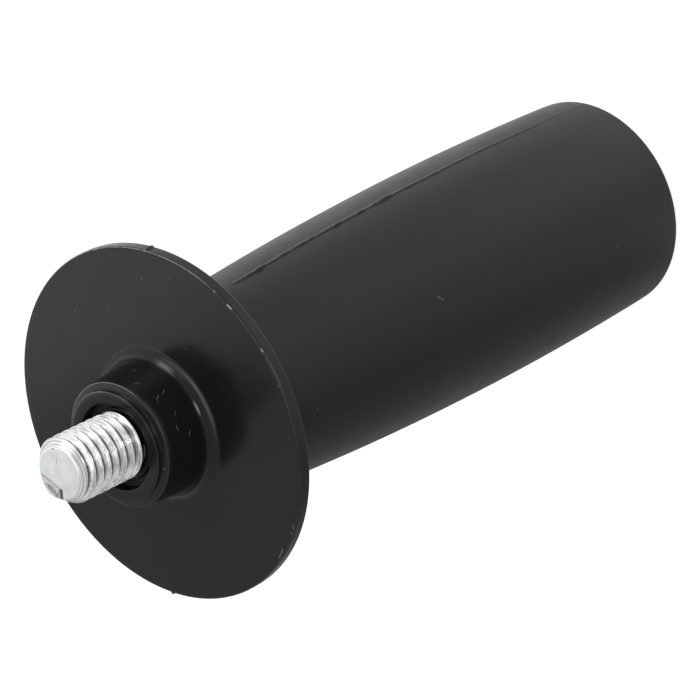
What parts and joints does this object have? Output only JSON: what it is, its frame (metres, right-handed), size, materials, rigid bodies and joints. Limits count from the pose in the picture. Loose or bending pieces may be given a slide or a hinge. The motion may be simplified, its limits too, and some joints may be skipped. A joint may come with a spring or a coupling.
{
  "type": "power tool side handle",
  "caption": "Black barrel-shaped side handle with a thin round guard, a short boss and a threaded steel stud that screws into the side of a power tool.",
  "frame": {"origin": "middle of the tail's flat end, which the handle stands on", "axes": "+Z along the handle's axis, from the open tail to the end of the stud; the mould halves part in the XZ plane"},
  "size_m": [0.0522, 0.0516, 0.1163],
  "materials": {
    "black_plastic": "satin black moulding with a fine grain, a parting line along the grip and a glossier boss",
    "zinc_steel": "bright zinc plate on a rolled thread, with small marks and a torn edge at the end"
  },
  "bodies": {
    "root": {"handle_body": "black_plastic", "threaded_stud": "zinc_steel"}
  },
  "joints": []
}
